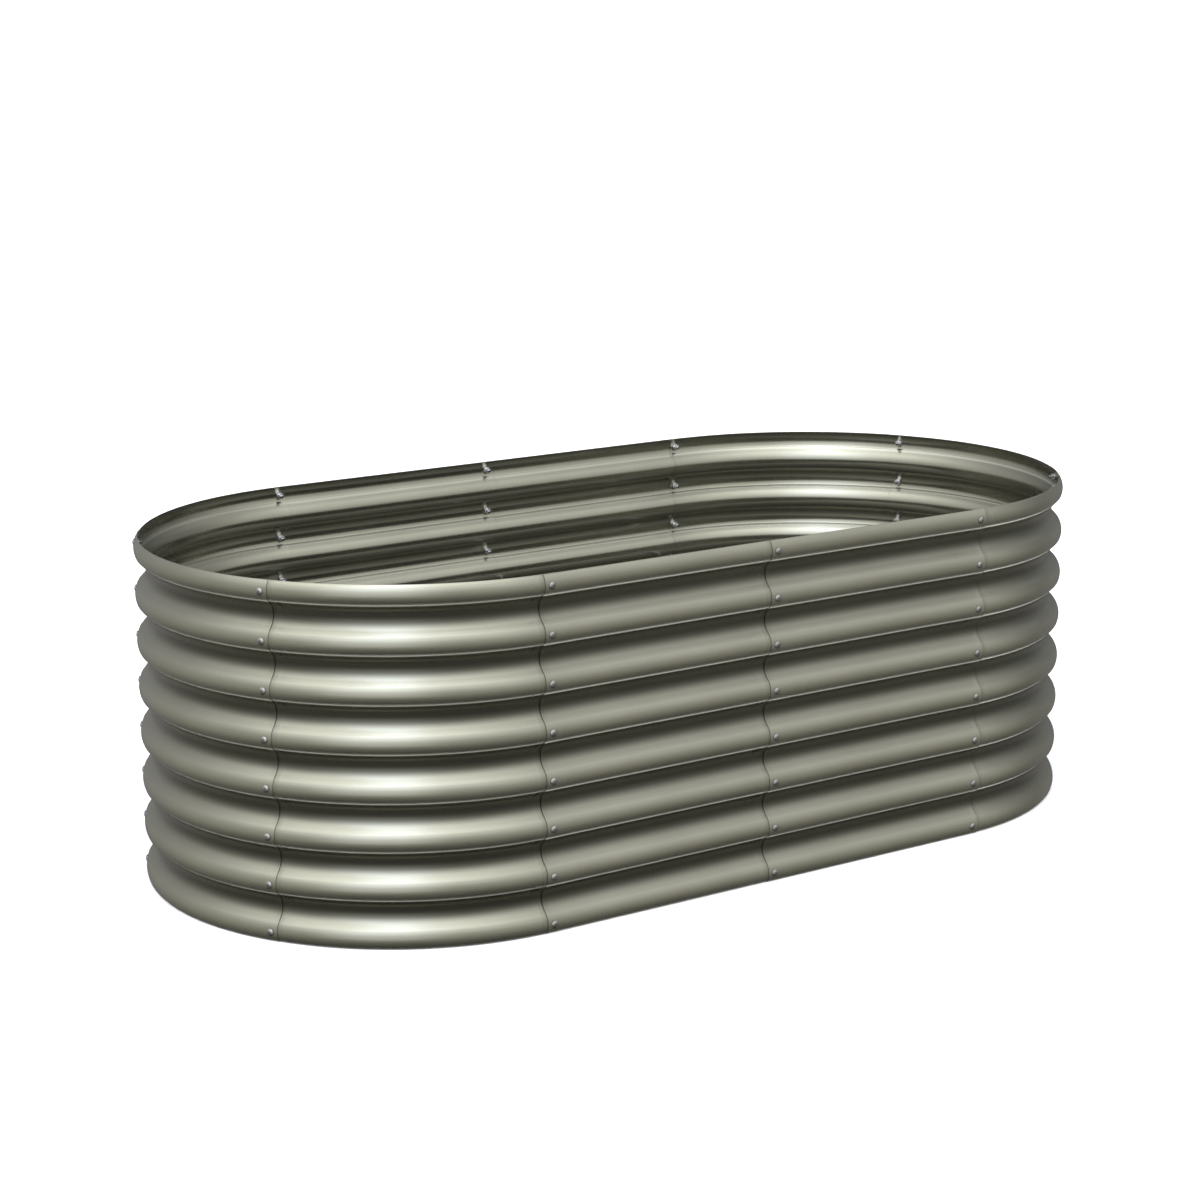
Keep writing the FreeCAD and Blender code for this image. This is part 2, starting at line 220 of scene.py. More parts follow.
def build_panel(name, seed):
    side, a0, a1, layer, over0, over1 = PANELS[name]
    loop, n_side = sheet_loop(layer)
    rng = np.random.default_rng(seed)
    if side in ("front", "back"):
        length = a1 - a0 + 2 * LAP
    else:
        length = math.radians(a1 - a0) * R_CREST + 2 * LAP
    # stations along the sheet: close together at both rounded edges
    r = EDGE_R
    tips = [(r * (1 - math.cos(math.radians(p))), math.sin(math.radians(p))) for p in (14, 38, 64, 90)]
    near = [0.0012, 0.0022, 0.004, 0.0065, 0.0095, 0.0128]
    step = 0.0095
    count = int(round((length - 2 * 0.018) / step))
    mid = [0.018 + (length - 0.036) * i / count for i in range(count + 1)]
    st = tips + [(t, 1.0) for t in near + mid] + [(length - t, 1.0) for t in reversed(near)]
    st += [(length - t, s) for t, s in reversed(tips)]
    t = np.array([a for a, _ in st])
    thick = np.array([b for _, b in st])

    u, z, mu, mz, v, painted_highlight, outside = loop.T
    nl, nt = len(u), len(t)
    U = mu[:, None] + (u - mu)[:, None] * thick[None, :]
    Z = mz[:, None] + (z - mz)[:, None] * thick[None, :]
    T = np.repeat(t[None, :], nl, axis=0)
    # slow hand-scale unevenness of thin sheet, none at the laps
    fade = smooth((np.minimum(T, length - T) - 2 * LAP - 0.006) / 0.05)
    wave = np.zeros_like(U)
    for _ in range(5):
        kx, kz = rng.uniform(6, 22), rng.uniform(-14, 14)
        wave += np.sin(T * kx + Z * kz + rng.uniform(0, 6.28)) * rng.uniform(0.4, 1.0)
    U = U + wave * 0.00009 * fade
    # the covering edge of a lap stands off a little in the grooves
    for over, d in ((over0, T), (over1, length - T)):
        if over:
            U = U - 0.00055 * smooth(1.0 - d / 0.010) * smooth(mu / DEPTH)[:, None]

    if side in ("front", "back"):
        sign = -1.0 if side == "front" else 1.0
        X = a0 - LAP + T
        Y = sign * (R_CREST - U)
    else:
        cx = -HALF if side == "left" else HALF
        ang = math.radians(a0) - LAP / R_CREST + T / R_CREST
        X = cx + (R_CREST - U) * np.cos(ang)
        Y = (R_CREST - U) * np.sin(ang)
    co = np.stack([X, Y, Z], -1).reshape(-1, 3)

    i = np.arange(nl)[:, None]
    j = np.arange(nt - 1)[None, :]
    i2 = (i + 1) % nl
    quads = np.stack([i * nt + j, i2 * nt + j, i2 * nt + j + 1, i * nt + j + 1], -1).reshape(-1, 4)
    # caps across the thickness at both ends
    caps = []
    for col, flip in ((0, False), (nt - 1, True)):
        strip = list(range(0, n_side)), list(range(n_side + 4, 2 * n_side + 4))
        outer, inner = strip[0], strip[1][::-1]
        for k in range(n_side - 1):
            q = [outer[k] * nt + col, inner[k] * nt + col, inner[k + 1] * nt + col, outer[k + 1] * nt + col]
            caps.append(q)
        top = [n_side - 1, n_side, n_side + 1, n_side + 2, n_side + 3, n_side + 4]
        bot = [2 * n_side + 3, 2 * n_side + 4, 2 * n_side + 5, 2 * n_side + 6, 2 * n_side + 7, 0]
        for fan in (top, bot):
            caps.append([fan[0] * nt + col, fan[1] * nt + col, fan[4] * nt + col, fan[5] * nt + col])
            caps.append([fan[1] * nt + col, fan[2] * nt + col, fan[3] * nt + col, fan[4] * nt + col])
    quads = np.concatenate([quads, np.array(caps)])

    me = bpy.data.meshes.new(name + "_sheet")
    me.vertices.add(len(co))
    me.vertices.foreach_set("co", co.ravel())
    me.loops.add(quads.size)
    me.loops.foreach_set("vertex_index", quads.ravel().astype(np.int32))
    me.polygons.add(len(quads))
    me.polygons.foreach_set("loop_start", np.arange(0, quads.size, 4, dtype=np.int32))
    me.update(calc_edges=True)
    me.validate()

    # developed coordinates, the painted highlight along each bend and the painted shadow line at the laps, for the
    # paint material
    flat = quads.ravel()
    uv = me.uv_layers.new(name="developed")
    coords = np.stack([T.reshape(-1)[flat], np.repeat(v[:, None], nt, axis=1).reshape(-1)[flat]], -1)
    uv.data.foreach_set("uv", coords.ravel().astype(np.float32))
    # painted highlight along each ridge's bend, set stronger or weaker on each side of the bed to stand in for how the
    # light falls there
    bend = me.attributes.new("bend", "FLOAT", "POINT")
    strength = {"left": 0.60, "front": 0.85, "back": 0.85, "right": 1.2}[side]
    bend.data.foreach_set("value", np.repeat(painted_highlight[:, None] * strength, nt, axis=1).reshape(-1).astype(np.float32))
    painted_lap_shadow = np.zeros_like(T)
    for over, d in ((over0, T), (over1, length - T)):
        if over:      # painted shadow line along the covering sheet's cut edge
            painted_lap_shadow = np.maximum(painted_lap_shadow, 0.8 * (1.0 - smooth((d - 0.0001) / 0.0007)))
        else:         # painted shade against the edge that covers this sheet
            e = d - 2 * LAP
            painted_lap_shadow = np.maximum(painted_lap_shadow, np.exp(-(e / 0.0012) ** 2))
    painted_lap_shadow = painted_lap_shadow * outside[:, None]
    # painted shade: the grooves are darkened towards near black, deeper than the ridges, with a narrower band on the
    # left end
    w = (mz - EDGE_BELOW) % PITCH
    low, high = (w - W_GROOVE - 0.0010) / (0.0152 if side == "left" else 0.0172), (w - W_GROOVE - 0.0010) / 0.0097
    shade = np.exp(-np.abs(np.where(low < 0.0, low, high)) ** 2.4)
    shade = np.where((mz < EDGE_BELOW) | (mz > HEIGHT - EDGE_ABOVE), 0.0, shade) * outside
    at = me.attributes.new("painted_lap_shadow", "FLOAT", "POINT")
    at.data.foreach_set("value", painted_lap_shadow.reshape(-1).astype(np.float32))
    at = me.attributes.new("shade", "FLOAT", "POINT")
    at.data.foreach_set("value", np.repeat(shade[:, None], nt, axis=1).reshape(-1).astype(np.float32))

    import bmesh
    bm = bmesh.new()
    bm.from_mesh(me)
    bmesh.ops.recalc_face_normals(bm, faces=bm.faces)
    bm.to_mesh(me)
    bm.free()
    me.polygons.foreach_set("use_smooth", np.ones(len(me.polygons), dtype=bool))
    me.update()
    ob = bpy.data.objects.new(name + "_finished", me)
    bpy.context.scene.collection.objects.link(ob)
    return ob


# ------------------------------------------------------------------ materials
def new_material(name):
    m = bpy.data.materials.new(name)
    m.use_nodes = True
    m.node_tree.nodes.clear()
    return m


class Graph:
    """Small helper for building node trees."""

    def __init__(self, material):
        self.t = material.node_tree
        self.out = self.node("ShaderNodeOutputMaterial")
        self.bsdf = self.node("ShaderNodeBsdfPrincipled")
        self.link(self.bsdf.outputs[0], self.out.inputs[0])

    def node(self, kind, **props):
        n = self.t.nodes.new(kind)
        for k, v in props.items():
            setattr(n, k, v)
        return n

    def link(self, a, b):
        self.t.links.new(a, b)

    def mapping(self, vector, scale):
        n = self.node("ShaderNodeMapping")
        n.inputs["Scale"].default_value = scale
        self.link(vector, n.inputs["Vector"])
        return n.outputs[0]

    def noise(self, vector, scale, detail=2.0, rough=0.5):
        n = self.node("ShaderNodeTexNoise")
        n.inputs["Scale"].default_value = scale
        n.inputs["Detail"].default_value = detail
        n.inputs["Roughness"].default_value = rough
        self.link(vector, n.inputs["Vector"])
        return n.outputs["Fac"]

    def rerange(self, value, a, b, c, d):
        n = self.node("ShaderNodeMapRange")
        for k, x in (("From Min", a), ("From Max", b), ("To Min", c), ("To Max", d)):
            n.inputs[k].default_value = x
        self.link(value, n.inputs["Value"])
        return n.outputs[0]

    def math(self, op, a, b):
        n = self.node("ShaderNodeMath", operation=op)
        for s, x in zip(n.inputs, (a, b)):
            if isinstance(x, (int, float)):
                s.default_value = x
            else:
                self.link(x, s)
        return n.outputs[0]

    def mix(self, factor, a, b):
        n = self.node("ShaderNodeMix", data_type="RGBA")
        sockets = [s for s in n.inputs if s.enabled]
        fac, ca, cb = sockets[0], n.inputs[6], n.inputs[7]
        for s, x in ((n.inputs[0], factor), (ca, a), (cb, b)):
            if isinstance(x, (int, float)):
                s.default_value = x
            elif isinstance(x, tuple):
                s.default_value = (*x, 1.0)
            else:
                self.link(x, s)
        return n.outputs[2]

    def bump(self, height, strength, distance):
        n = self.node("ShaderNodeBump")
        n.inputs["Strength"].default_value = strength
        n.inputs["Distance"].default_value = distance
        self.link(height, n.inputs["Height"])
        return n.outputs[0]


def paint_material():
    m = new_material("olive_pearl_paint")
    g = Graph(m)
    uv = g.node("ShaderNodeUVMap", uv_map="developed").outputs[0]
    geo = g.node("ShaderNodeTexCoord").outputs["Object"]
    bend = g.node("ShaderNodeAttribute", attribute_name="bend").outputs["Fac"]
    painted_lap_shadow = g.node("ShaderNodeAttribute", attribute_name="painted_lap_shadow").outputs["Fac"]
    cloud = g.noise(g.mapping(geo, (1.0, 1.0, 1.0)), 7.0, 3.0, 0.55)
    roll = g.noise(g.mapping(uv, (6.0, 520.0, 1.0)), 1.0, 3.0, 0.6)      # along the rolling direction
    flake = g.noise(geo, 2600.0, 1.0, 0.5)
    base = g.mix(g.rerange(cloud, 0.3, 0.7, 0.0, 1.0), (0.180, 0.181, 0.138), (0.208, 0.209, 0.161))
    base = g.mix(g.rerange(roll, 0.25, 0.75, 0.0, 0.35), base, (0.236, 0.237, 0.188))
    base = g.mix(g.rerange(flake, 0.35, 0.65, 0.0, 0.30), base, (0.290, 0.291, 0.240))
    shade = g.node("ShaderNodeAttribute", attribute_name="shade").outputs["Fac"]
    # painted shade in the grooves
    base = g.mix(g.math("MULTIPLY", shade, 0.77), base, (0.006, 0.006, 0.004))
    # painted highlight: a light, less metallic band along each ridge's bend and the top edge
    base = g.mix(g.math("MULTIPLY", bend, 0.85), base, (0.62, 0.615, 0.53))
    # painted shadow along the lap edges, which also roughens the paint there
    base = g.mix(g.math("MULTIPLY", painted_lap_shadow, 0.94), base, (0.012, 0.012, 0.010))
    g.link(base, g.bsdf.inputs["Base Color"])
    g.link(g.math("SUBTRACT", 0.97, g.math("MULTIPLY", bend, 0.75)), g.bsdf.inputs["Metallic"])
    g.bsdf.inputs["Coat Weight"].default_value = 0.12
    g.bsdf.inputs["Coat Roughness"].default_value = 0.16
    g.bsdf.inputs["Specular IOR Level"].default_value = 0.5
    rough = g.rerange(g.math("ADD", g.math("MULTIPLY", cloud, 0.5), g.math("MULTIPLY", roll, 0.5)), 0.3, 0.7, 0.20, 0.26)
    rough = g.math("ADD", rough, g.math("MULTIPLY", painted_lap_shadow, 0.5))
    g.link(rough, g.bsdf.inputs["Roughness"])
    peel = g.noise(geo, 420.0, 2.0, 0.5)
    height = g.math("ADD", g.math("MULTIPLY", peel, 0.6), g.math("MULTIPLY", roll, 0.4))
    g.link(g.bump(height, 0.10, 0.0002), g.bsdf.inputs["Normal"])
    return m


def zinc_material(name, a, b, rough_lo, rough_hi, spangle):
    m = new_material(name)
    g = Graph(m)
    geo = g.node("ShaderNodeTexCoord").outputs["Object"]
    cloud = g.noise(geo, 90.0, 3.0, 0.6)
    fine = g.noise(geo, 900.0, 2.0, 0.6)
    base = g.mix(g.rerange(cloud, 0.3, 0.7, 0.0, 1.0), a, b)
    if spangle:
        vor = g.node("ShaderNodeTexVoronoi", feature="F1")
        vor.inputs["Scale"].default_value = 130.0
        g.link(geo, vor.inputs["Vector"])
        grey = g.node("ShaderNodeRGBToBW")
        g.link(vor.outputs["Color"], grey.inputs[0])
        base = g.mix(g.rerange(grey.outputs[0], 0.2, 0.8, 0.0, 0.5), base, tuple(0.72 * c for c in a))
    base = g.mix(g.rerange(fine, 0.62, 0.80, 0.0, 0.55), base, tuple(0.5 * c for c in a))
    g.link(base, g.bsdf.inputs["Base Color"])
    g.bsdf.inputs["Metallic"].default_value = 1.0
    g.link(g.rerange(g.math("ADD", g.math("MULTIPLY", cloud, 0.5), g.math("MULTIPLY", fine, 0.5)), 0.3, 0.7, rough_lo, rough_hi),
           g.bsdf.inputs["Roughness"])
    g.link(g.bump(fine, 0.12, 0.0002), g.bsdf.inputs["Normal"])
    return m


PAINT = paint_material()
BOLT_ZINC = zinc_material("bright_zinc", (0.275, 0.272, 0.258), (0.190, 0.188, 0.178), 0.16, 0.30, False)
NUT_ZINC = zinc_material("nut_zinc", (0.72, 0.73, 0.74), (0.62, 0.63, 0.64), 0.24, 0.40, False)
GALVANISED = zinc_material("galvanised", (0.62, 0.64, 0.66), (0.52, 0.54, 0.56), 0.34, 0.52, True)

# ------------------------------------------------------------------ panels
for seed, name in enumerate(PANELS):
    ob = build_panel(name, 11 + seed)
    ob.data.materials.append(PAINT)
    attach(ob, "root")
    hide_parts(name)


# ------------------------------------------------------------------ fasteners
def ring_mesh(profile, steps, deform=None):
    """Turned surface about +X from (x, r) points; deform moves a point."""
    verts, faces = [], []
    for x, r in profile:
        for i in range(steps):
            a = 2 * math.pi * i / steps
            p = (x, r * math.cos(a), r * math.sin(a))
            verts.append(deform(p, x, r, a) if deform else p)
    n = len(profile)
    for k in range(n - 1):
        for i in range(steps):
            j = (i + 1) % steps
            faces.append((k * steps + i, k * steps + j, (k + 1) * steps + j, (k + 1) * steps + i))
    return verts, faces


def cap(verts, faces, ring, steps, x):
    c = len(verts)
    verts.append((x, 0.0, 0.0))
    for i in range(steps):
        faces.append((ring * steps + i, ring * steps + (i + 1) % steps, c))


def cross_depth(y, z):
    """0..1 depth of the cross recess at a point of the head's face."""
    best = 0.0
    for a, b in ((y, z), (z, y)):
        along = max(0.0, abs(a) - 0.00195) / 0.00045
        across = max(0.0, abs(b) - 0.00050) / 0.00018
        best = max(best, 1.0 - min(1.0, math.hypot(along, across)))
    centre = max(0.0, math.hypot(y, z) - 0.0009) / 0.0004
    best = max(best, 1.0 - min(1.0, centre))
    return best


def bolt_parts(length):
    """Domed head with a cross recess on a threaded shank, head's seat at x = 0."""
    steps = 64
    rise = HEAD_H - 0.0009
    rs = (HEAD_R ** 2 + rise ** 2) / (2 * rise)
    prof = [(0.0, BOLT_R), (0.0, HEAD_R - 0.0003), (0.00009, HEAD_R - 0.00009), (0.0003, HEAD_R), (0.0007, HEAD_R)]
    rings = 44
    for i in range(rings):
        r = (HEAD_R - 0.00004) * (1 - i / rings)
        x = 0.0009 + (math.sqrt(rs ** 2 - r ** 2) - (rs - rise))
        prof.append((x, max(r, 0.00002)))

    def dent(p, x, r, a):
        if x > 0.00088:
            d = cross_depth(p[1], p[2])
            return (p[0] - 0.0016 * d, p[1], p[2])
        return p

    v, f = ring_mesh(prof, steps, dent)
    cap(v, f, len(prof) - 1, steps, v[(len(prof) - 1) * steps][0])
    # shank: plain under the head, then a 1 mm pitch thread
    ts = 28
    per = 6
    total = length - 0.0004
    n = int((total - 0.0016) / 0.001 * per)
    sv, sf = [], []
    xs = [0.0005, -0.0006, -0.0014] + [-0.0016 - 0.001 * k / per for k in range(n)]
    for idx, x in enumerate(xs):
        for i in range(ts):
            a = 2 * math.pi * i / ts
            if idx < 3:
                r = BOLT_R - 0.00006
            else:
                ph = ((-x / 0.001) + i / ts) % 1.0
                r = BOLT_R - 0.00004 - 0.00052 * (1 - abs(2 * ph - 1))
                left = (x + length) / 0.0012
                r = min(r, BOLT_R - 0.0009 * (1 - min(1.0, max(0.0, left))))
            sv.append((x, r * math.cos(a), r * math.sin(a)))
    for k in range(len(xs) - 1):
        for i in range(ts):
            j = (i + 1) % ts
            sf.append((k * ts + j, k * ts + i, (k + 1) * ts + i, (k + 1) * ts + j))
    cap(sv, sf, len(xs) - 1, ts, -length + 0.00002)
    c = len(sv)
    sv.append((0.0005, 0.0, 0.0))
    for i in range(ts):
        sf.append(((i + 1) % ts, i, c))
    # close the seat between the shank and the head's rim
    o = len(v)
    v = v + sv
    f = [tuple(x) for x in f] + [tuple(k + o for k in x) for x in sf]
    c = len(v)
    v.append((0.0, 0.0, 0.0))
    for i in range(steps):
        f.append(((i + 1) % steps, i, c))
    return v, f


def nut_parts():
    """Hexagon nut, seat at x = 0, free face at -NUT_H, corners turned off."""
    steps = 96
    flat = NUT_AF / 2

    def hexr(a):
        k = (a + math.pi / 6) % (math.pi / 3) - math.pi / 6
        return flat / math.cos(k)

    prof = []
    levels = [(0.0, 0.93), (-0.0002, 0.97), (-0.0005, 1.0), (-0.0015, 1.0), (-0.0030, 1.0), (-0.0042, 1.0), (-0.0046, 1.0), (-0.00485, 1.0), (-NUT_H, 1.0)]
    verts, faces = [], []
    for x, s in levels:
        for i in range(steps):
            a = 2 * math.pi * i / steps + math.pi / 6
            edge = flat + 0.00015 + 1.6 * (NUT_H + x)
            seat = flat + 0.00035 + 1.6 * (-x)
            r = min(hexr(a), edge, seat)
            if x == -NUT_H:
                r -= 0.00012
            verts.append((x, r * math.cos(a), r * math.sin(a)))
    n_out = len(levels)
    bore = [(-NUT_H, 0.0034), (-NUT_H + 0.0004, 0.00308), (-0.0004, 0.00308), (0.0, 0.0034)]
    for x, r in bore:
        for i in range(steps):
            a = 2 * math.pi * i / steps + math.pi / 6
            verts.append((x, r * math.cos(a), r * math.sin(a)))
    total = n_out + len(bore)
    for k in range(total):
        k2 = (k + 1) % total
        for i in range(steps):
            j = (i + 1) % steps
            faces.append((k * steps + j, k * steps + i, k2 * steps + i, k2 * steps + j))
    return verts, faces


def washer_parts():
    steps = 48
    e = 0.00018
    prof = [(-e, WASHER_R), (-WASHER_T + e, WASHER_R), (-WASHER_T, WASHER_R - e), (-WASHER_T, WASHER_HOLE_R + e),
            (-WASHER_T + e, WASHER_HOLE_R), (-e, WASHER_HOLE_R), (0.0, WASHER_HOLE_R + e), (0.0, WASHER_R - e), (-e, WASHER_R)]
    v, f = ring_mesh(prof[:-1], steps)
    n = len(prof) - 1
    for i in range(steps):
        j = (i + 1) % steps
        f.append(((n - 1) * steps + i, (n - 1) * steps + j, j, i))
    return v, f


def seat_matrix(pos, direction, spin):
    x = Vector(direction).normalized()
    z = Vector((0, 0, 1))
    y = z.cross(x).normalized()
    z = x.cross(y)
    m = Matrix((x, y, z)).transposed().to_4x4()
    m.translation = Vector(pos)
    return m @ Matrix.Rotation(math.radians(spin), 4, "X")


def place_all(name, parts, seats, material, node, angle=32.0):
    import bmesh
    v0, f0 = parts
    v0 = np.array(v0)
    verts, faces = [], []
    for m in seats:
        o = len(verts)
        M = np.array(m)
        w = v0 @ M[:3, :3].T + M[:3, 3]
        verts.extend(w.tolist())
        faces.extend([tuple(k + o for k in f) for f in f0])
    me = bpy.data.meshes.new(name)
    me.from_pydata(verts, [], faces)
    me.validate()
    bm = bmesh.new()
    bm.from_mesh(me)
    bmesh.ops.recalc_face_normals(bm, faces=bm.faces)
    limit = math.radians(angle)
    for e in bm.edges:
        if len(e.link_faces) == 2 and e.calc_face_angle(0.0) > limit:
            e.smooth = False
    for f in bm.faces:
        f.smooth = True
    bm.to_mesh(me)
    bm.free()
    me.materials.append(material)
    ob = bpy.data.objects.new(name, me)
    bpy.context.scene.collection.objects.link(ob)
    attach(ob, "root")
    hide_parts(node)
    return ob


def seam_seat(kind, value):
    if kind in ("front", "back"):
        s = -1.0 if kind == "front" else 1.0
        return Vector((value, s * R_CREST, 0)), Vector((0, s, 0))
    cx = -HALF if kind == "left" else HALF
    a = math.radians(value)
    d = Vector((math.cos(a), math.sin(a), 0))
    return Vector((cx, 0, 0)) + d * R_CREST, d


# name: kind, position, layers of the two sheets
SEAMS = {
    "front_left": ("front", -HALF, 0, 1),
    "front_mid": ("front", 0.0, 1, 2),
    "front_right": ("front", HALF, 2, 1),
    "right_end_front": ("right", -30.0, 1, 0),
    "right_end_back": ("right", 30.0, 0, 1),
    "back_right": ("back", HALF, 1, 2),
    "back_mid": ("back", 0.0, 2, 1),
    "back_left": ("back", -HALF, 1, 0),
    "left_end_back": ("left", 150.0, 0, 1),
    "left_end_front": ("left", 210.0, 1, 0),
}


def inside_gap(kind, value, half_w, half_x):
    r = R_CROWN - SHEET
    rise = r - math.sqrt(r * r - (half_w + CROWN_MID) ** 2)
    bend = 0.0 if kind in ("front", "back") and value == 0.0 else half_x ** 2 / (2 * R_CREST)
    return rise + bend + 0.00001


BOLT = bolt_parts(BOLT_LEN)
TIE_BOLT = bolt_parts(TIE_BOLT_LEN)
NUT = nut_parts()
WASHER = washer_parts()

for si, (name, (kind, value, la, lb)) in enumerate(SEAMS.items()):
    base, d = seam_seat(kind, value)
    outside = max(la, lb) * SHEET
    inside = (min(la, lb) - 1) * SHEET
    heads, rings, nuts = [], [], []
    rng = np.random.default_rng(100 + si)
    for k in range(ROWS):
        centre = base + Vector((0, 0, EDGE_BELOW + k * PITCH))
        spin = float(rng.uniform(0, 90))
        heads.append(seat_matrix(centre + d * outside, d, spin))
        if k == TIE_ROW and kind in ("front", "back"):
            back = inside - inside_gap(kind, value, TIE_W / 2 - TIE_DROP, LAP) - BRACKET_T
        else:
            back = inside - inside_gap(kind, value, WASHER_R, WASHER_R)
        rings.append(seat_matrix(centre + d * back, d, spin))
        nuts.append(seat_matrix(centre + d * (back - WASHER_T), d, float(rng.uniform(0, 60))))
    place_all("bolt_heads_" + name, BOLT, heads, BOLT_ZINC, "bolts_" + name)
    place_all("washer_rings_" + name, WASHER, rings, NUT_ZINC, "washers_" + name)
    place_all("hex_nuts_" + name, NUT, nuts, NUT_ZINC, "nuts_" + name)

# ------------------------------------------------------------------ cross ties
for part, x_seam, side, word in (("left", -HALF, 1.0, "left"), ("centre", 0.0, 1.0, "mid"), ("right", HALF, -1.0, "right")):
    z0 = EDGE_BELOW + TIE_ROW * PITCH
    x_face = x_seam + side * BRACKET_REACH
    bolts, nuts = [], []
    for sign, fb in ((-1.0, "front"), (1.0, "back")):
        kind, value, la, lb = SEAMS[fb + "_" + word]
        u_foot = -(min(la, lb) - 1) * SHEET + inside_gap(kind, value, TIE_W / 2 - TIE_DROP, LAP)
        y_bolt = sign * (R_CREST - u_foot) - sign * TIE_BOLT_IN
        bolts.append(seat_matrix((x_face + side * TIE_T, y_bolt, z0), (side, 0, 0), 23.0))
        nuts.append(seat_matrix((x_face - side * BRACKET_T, y_bolt, z0), (side, 0, 0), 8.0))
    place_all("tie_bolt_heads_" + part, TIE_BOLT, bolts, BOLT_ZINC, "tie_bolts_" + part)
    place_all("tie_hex_nuts_" + part, NUT, nuts, NUT_ZINC, "tie_nuts_" + part)
    for node in ("brackets_" + part, "tie_bar_" + part):
        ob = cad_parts[node]
        ob.data.materials.clear()
        ob.data.materials.append(GALVANISED)
        bevel = ob.modifiers.new("eased_edges", "BEVEL")
        bevel.width = 0.0006
        bevel.segments = 3
        bevel.limit_method = "ANGLE"
        bevel.angle_limit = math.radians(50)
        bevel.harden_normals = False

# ------------------------------------------------------------------ floor
me = bpy.data.meshes.new("floor")
S = 60.0
me.from_pydata([(-S, -S, 0), (S, -S, 0), (S, S, 0), (-S, S, 0)], [], [(0, 1, 2, 3)])
floor = bpy.data.objects.new("floor", me)
bpy.context.scene.collection.objects.link(floor)
fm = new_material("pale_floor")
fg = Graph(fm)
tc = fg.node("ShaderNodeTexCoord").outputs["Object"]
fg.link(fg.mix(fg.rerange(fg.noise(tc, 3.0, 4.0, 0.6), 0.3, 0.7, 0.0, 1.0), (0.86, 0.86, 0.86), (0.885, 0.885, 0.885)),
        fg.bsdf.inputs["Base Color"])
fg.bsdf.inputs["Roughness"].default_value = 0.9
fg.bsdf.inputs["Specular IOR Level"].default_value = 0.1
me.materials.append(fm)
floor.visible_glossy = False      # the steel mirrors the dark surroundings, not the sheet it stands on

# ------------------------------------------------------------------ light
world = bpy.data.worlds.new("studio")
bpy.context.scene.world = world
world.use_nodes = True
wt = world.node_tree
wt.nodes.clear()
w_out = wt.nodes.new("ShaderNodeOutputWorld")
w_bg = wt.nodes.new("ShaderNodeBackground")
wt.links.new(w_bg.outputs[0], w_out.inputs[0])
w_dir = wt.nodes.new("ShaderNodeTexCoord").outputs["Generated"]


def wmath(op, a, b=0.0):
    n = wt.nodes.new("ShaderNodeMath")
    n.operation = op
    for s, x in zip(n.inputs, (a, b)):
        if isinstance(x, (int, float)):
            s.default_value = x
        else:
            wt.links.new(x, s)
    return n.outputs[0]


def wsmooth(value, a, b, lo, hi):
    n = wt.nodes.new("ShaderNodeMapRange")
    n.interpolation_type = "SMOOTHSTEP"
    wt.links.new(value, n.inputs["Value"])
    for k, x in (("From Min", a), ("From Max", b), ("To Min", lo), ("To Max", hi)):
        n.inputs[k].default_value = x
    return n.outputs[0]


def wdot(vec):
    n = wt.nodes.new("ShaderNodeVectorMath")
    n.operation = "DOT_PRODUCT"
    wt.links.new(w_dir, n.inputs[0])
    n.inputs[1].default_value = vec
    return n.outputs["Value"]


def towards(az, el):
    a, e = math.radians(az), math.radians(el)
    return (math.sin(a) * math.cos(e), -math.cos(a) * math.cos(e), math.sin(e))


def band(az, half_az, soft_az, stops):
    """Light from a sector of the studio, centred on az; stops give its strength
    by elevation in degrees, from straight down to straight up."""
    ramp = wt.nodes.new("ShaderNodeValToRGB")
    ramp.color_ramp.interpolation = "LINEAR"
    level = wmath("ADD", wmath("MULTIPLY", wdot((0.0, 0.0, 1.0)), 0.5), 0.5)
    wt.links.new(level, ramp.inputs[0])
    els = ramp.color_ramp.elements
    while len(els) > 1:
        els.remove(els[-1])
    for i, (el, value) in enumerate(stops):
        pos = 0.5 + 0.5 * math.sin(math.radians(el))
        e = els[0] if i == 0 else els.new(pos)
        e.position = pos
        e.color = (value / PEAK, value / PEAK, value / PEAK, 1.0)
    strength = wmath("MULTIPLY", ramp.outputs[0], PEAK)
    if half_az is None:
        return strength
    side = wdot(towards(az + 90.0, 0.0))
    front = wdot(towards(az, 0.0))
    off = wmath("ARCTAN2", wmath("ABSOLUTE", side), front)
    return wmath("MULTIPLY", strength, wsmooth(off, math.radians(half_az - soft_az), math.radians(half_az + soft_az), 1.0, 0.0))


PEAK = 4.0
# left half and right half of the room, a broad soft box from the front left, its bright core, a fill from the front right
total = band(-80.0, 100.0, 60.0, ((-75, 0.02), (-50, 0.17), (-32, 0.40), (-18, 0.66), (-6, 0.85), (6, 0.98), (18, 1.10), (32, 1.22), (46, 1.60), (62, 2.25), (80, 2.8)))
total = wmath("ADD", total, band(80.0, 46.0, 30.0, ((-75, 0.03), (-50, 0.14), (-32, 0.24), (-18, 0.34), (-6, 0.38), (6, 0.44), (18, 0.42), (32, 0.70), (46, 1.05), (62, 1.25), (80, 1.4))))
total = wmath("ADD", total, band(-45.0, 70.0, 40.0, ((-50, 0.05), (-18, 0.02), (6, 0.16), (18, 0.45), (32, 1.1), (46, 1.45), (62, 1.5), (80, 1.4))))
core = band(-43.0, 20.0, 14.0, ((-32, 0.0), (-18, 0.10), (-6, 0.75), (6, 0.9), (18, 1.0), (32, 1.45), (46, 1.85), (62, 2.1), (80, 2.2)))
total = wmath("ADD", total, core)
total = wmath("ADD", total, band(35.0, 35.0, 25.0, ((-50, 0.04), (-32, 0.12), (-18, 0.24), (-6, 0.36), (6, 0.50), (18, 0.70), (32, 0.64), (46, 0.62), (62, 0.85), (80, 1.1))))
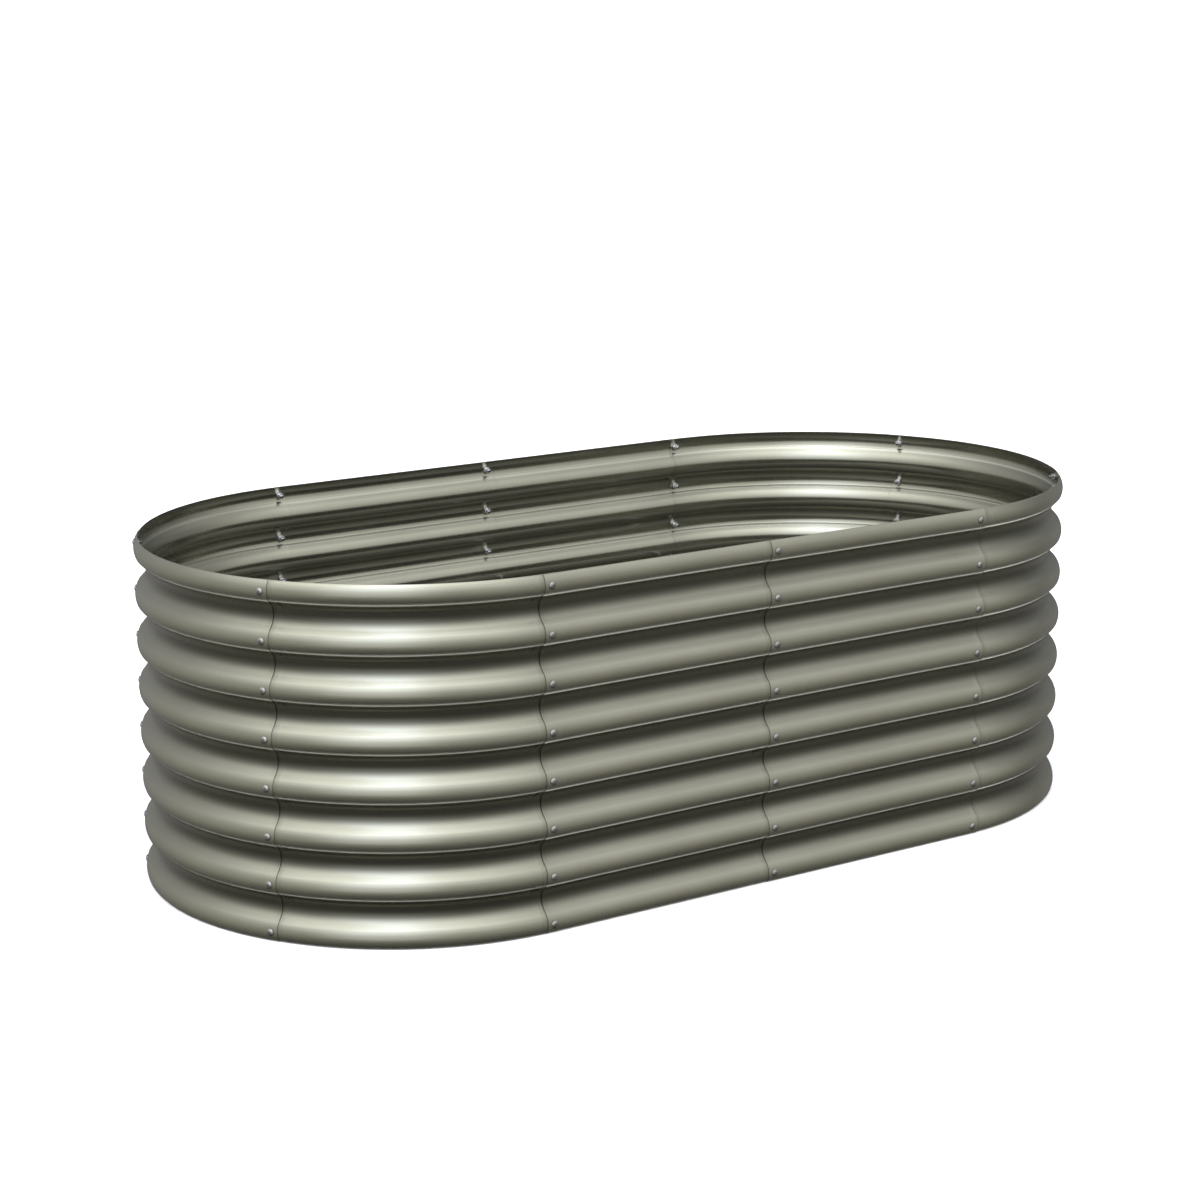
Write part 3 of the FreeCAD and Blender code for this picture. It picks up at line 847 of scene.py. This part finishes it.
# the backdrop itself is evenly white
seen = wt.nodes.new("ShaderNodeLightPath").outputs["Is Camera Ray"]
total = wmath("ADD", wmath("MULTIPLY", total, wmath("SUBTRACT", 1.0, seen)), wmath("MULTIPLY", seen, 1.05))
wt.links.new(total, w_bg.inputs["Strength"])
# warm below, cooler above, and the core of the soft box a little cooler still
warm = wt.nodes.new("ShaderNodeMix")
warm.data_type = "RGBA"
wt.links.new(wmath("MAXIMUM", wsmooth(wdot((0.0, 0.0, 1.0)), -0.35, 0.55, 0.0, 1.0), seen), warm.inputs[0])
warm.inputs[6].default_value = (1.02, 1.0, 0.95, 1.0)
warm.inputs[7].default_value = (1.0, 1.0, 1.04, 1.0)
tint = wt.nodes.new("ShaderNodeMix")
tint.data_type = "RGBA"
wt.links.new(wmath("MINIMUM", wmath("MULTIPLY", wmath("MULTIPLY", core, 0.55), wmath("SUBTRACT", 1.0, seen)), 1.0), tint.inputs[0])
wt.links.new(warm.outputs[2], tint.inputs[6])
tint.inputs[7].default_value = (0.95, 0.985, 1.14, 1.0)
wt.links.new(tint.outputs[2], w_bg.inputs["Color"])

# ------------------------------------------------------------------ camera
AZ, EL, ROLL = math.radians(-34.2396), math.radians(13.1092), math.radians(-0.2183)
F_PX = 2713.9
DIST = 4.87546
TARGET = Vector((-0.047112, 0.0, 0.412208))
back = Vector((math.sin(AZ) * math.cos(EL), -math.cos(AZ) * math.cos(EL), math.sin(EL)))
right = (-back).cross(Vector((0, 0, 1))).normalized()
up = right.cross(-back).normalized()
right, up = right * math.cos(ROLL) + up * math.sin(ROLL), -right * math.sin(ROLL) + up * math.cos(ROLL)
cam_data = bpy.data.cameras.new("camera")
cam = bpy.data.objects.new("camera", cam_data)
bpy.context.scene.collection.objects.link(cam)
m = Matrix((right, up, back)).transposed().to_4x4()
m.translation = TARGET + back * DIST
cam.matrix_world = m
cam_data.sensor_fit = "HORIZONTAL"
cam_data.sensor_width = 36.0
cam_data.lens = F_PX / 1200.0 * 36.0
cam_data.clip_start = 0.05
cam_data.clip_end = 300.0
bpy.context.scene.camera = cam
bpy.context.scene.view_settings.view_transform = "Standard"
bpy.context.scene.view_settings.look = "None"
bpy.context.scene.view_settings.exposure = 0.0
bpy.context.scene.view_settings.gamma = 1.0
